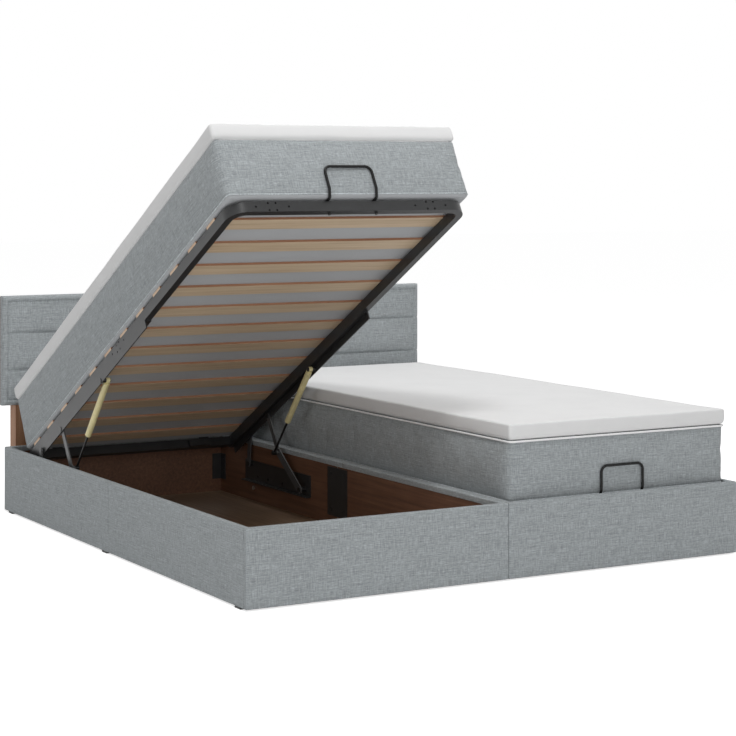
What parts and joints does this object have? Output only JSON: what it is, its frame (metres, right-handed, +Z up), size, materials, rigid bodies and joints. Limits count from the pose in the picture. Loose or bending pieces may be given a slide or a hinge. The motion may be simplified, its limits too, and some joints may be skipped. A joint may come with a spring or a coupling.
{
  "type": "ottoman storage bed",
  "caption": "Ottoman storage bed: fabric-covered boxes side by side, slatted lids that lift on link arms and gas struts with mattress and topper, and a padded headboard.",
  "frame": {"origin": "middle of the bed's footprint on the floor, headboard included", "axes": "+X across the bed, to the right as seen from its foot; +Y from the foot towards the headboard; +Z up"},
  "size_m": [1.835, 2.088, 1.4213],
  "materials": {
    "base_fabric": "matte",
    "headboard_fabric": "matte",
    "mattress_fabric": "matte",
    "topper_fabric": "matte",
    "board": "matte",
    "floor_board": "matte",
    "black_steel": "satin",
    "frame_steel": "satin",
    "handle_steel": "satin",
    "zinc_steel": "satin",
    "rod_steel": "satin",
    "strut_cream": "satin",
    "slat_wood": "satin",
    "glide_plastic": "matte"
  },
  "bodies": {
    "base": {"left_base_fasteners": "zinc_steel", "left_base_rails": "black_steel", "left_corner_brackets": "black_steel", "left_floor_panel": "floor_board", "left_foot_board": "board", "left_foot_cover": "base_fabric", "left_head_board": "board", "left_head_cover": "base_fabric", "left_inner_side_boards": "board", "left_inner_side_covers": "base_fabric", "left_joiner_plates": "black_steel", "left_outer_side_boards": "board", "left_outer_side_covers": "base_fabric", "right_base_fasteners": "zinc_steel", "right_base_rails": "black_steel", "right_corner_brackets": "black_steel", "right_floor_panel": "floor_board", "right_foot_board": "board", "right_foot_cover": "base_fabric", "right_head_board": "board", "right_head_cover": "base_fabric", "right_inner_side_boards": "board", "right_inner_side_covers": "base_fabric", "right_joiner_plates": "black_steel", "right_outer_side_boards": "board", "right_outer_side_covers": "base_fabric", "unit_bolts": "zinc_steel", "headboard_cushion": "headboard_fabric", "headboard_board": "board", "headboard_posts": "board", "headboard_bolts": "zinc_steel", "glides": "glide_plastic"},
    "left_lid": {"left_lid_foot_tube": "frame_steel", "left_lid_side_tubes": "frame_steel", "left_lid_head_bar": "frame_steel", "left_lid_slats": "slat_wood", "left_lid_rails": "frame_steel", "left_lid_fasteners": "zinc_steel", "left_lid_handle": "handle_steel", "left_mattress": "mattress_fabric", "left_topper": "topper_fabric"},
    "left_arms": {"left_front_arms": "black_steel"},
    "left_links": {"left_rear_links": "black_steel"},
    "left_cylinders": {"left_gas_cylinders": "strut_cream"},
    "left_rods": {"left_gas_rods": "rod_steel"},
    "right_lid": {"right_lid_foot_tube": "frame_steel", "right_lid_side_tubes": "frame_steel", "right_lid_head_bar": "frame_steel", "right_lid_slats": "slat_wood", "right_lid_rails": "frame_steel", "right_lid_fasteners": "zinc_steel", "right_lid_handle": "handle_steel", "right_mattress": "mattress_fabric", "right_topper": "topper_fabric"},
    "right_arms": {"right_front_arms": "black_steel"},
    "right_links": {"right_rear_links": "black_steel"},
    "right_cylinders": {"right_gas_cylinders": "strut_cream"},
    "right_rods": {"right_gas_rods": "rod_steel"}
  },
  "joints": [
    {"name": "left_arm_lift", "type": "hinge", "parent": "base", "child": "left_arms", "pos_m": [-0.4575, 0.25648, 0.11195], "axis": [-1, 0, 0], "range_deg": [0, 34.55]},
    {"name": "left_lid_tilt", "type": "hinge", "parent": "left_arms", "child": "left_lid", "pos_m": [-0.4575, 0.50921, 0.35768], "axis": [1, 0, 0], "range_deg": [0, 63.95]},
    {"name": "left_link_swing", "type": "hinge", "parent": "base", "child": "left_links", "pos_m": [-0.4575, 0.69785, 0.15236], "axis": [-1, 0, 0], "range_deg": [0, 85.7]},
    {"name": "left_strut_tilt", "type": "hinge", "parent": "left_lid", "child": "left_cylinders", "pos_m": [-0.4575, 0.1402, 0.56446], "axis": [1, 0, 0], "range_deg": [0, 9.19]},
    {"name": "left_strut_slide", "type": "slide", "parent": "left_cylinders", "child": "left_rods", "axis": [0, -0.6437, 0.7653], "range_m": [0, 0.15445]},
    {"name": "right_arm_lift", "type": "hinge", "parent": "base", "child": "right_arms", "pos_m": [0.4575, 0.25648, 0.11195], "axis": [1, 0, 0], "range_deg": [0, 34.55]},
    {"name": "right_lid_tilt", "type": "hinge", "parent": "right_arms", "child": "right_lid", "pos_m": [0.4575, 0.604, 0.171], "axis": [-1, 0, 0], "range_deg": [0, 63.95]},
    {"name": "right_link_swing", "type": "hinge", "parent": "base", "child": "right_links", "pos_m": [0.4575, 0.69785, 0.15236], "axis": [1, 0, 0], "range_deg": [0, 85.7]},
    {"name": "right_strut_tilt", "type": "hinge", "parent": "right_lid", "child": "right_cylinders", "pos_m": [0.4575, 0.181, 0.17], "axis": [-1, 0, 0], "range_deg": [0, 9.19]},
    {"name": "right_strut_slide", "type": "slide", "parent": "right_cylinders", "child": "right_rods", "axis": [0, 0.9805, -0.1966], "range_m": [0, 0.15445]}
  ],
  "couplings": [
    {"joint": "left_lid_tilt", "follows": "left_arm_lift", "ratio": 1.8509},
    {"joint": "left_link_swing", "follows": "left_arm_lift", "ratio": 2.4803},
    {"joint": "left_strut_tilt", "follows": "left_arm_lift", "ratio": 0.26609},
    {"joint": "left_strut_slide", "follows": "left_arm_lift", "m_per_rad": 0.25612},
    {"joint": "right_lid_tilt", "follows": "right_arm_lift", "ratio": 1.8509},
    {"joint": "right_link_swing", "follows": "right_arm_lift", "ratio": 2.4803},
    {"joint": "right_strut_tilt", "follows": "right_arm_lift", "ratio": 0.26609},
    {"joint": "right_strut_slide", "follows": "right_arm_lift", "m_per_rad": 0.25612}
  ]
}
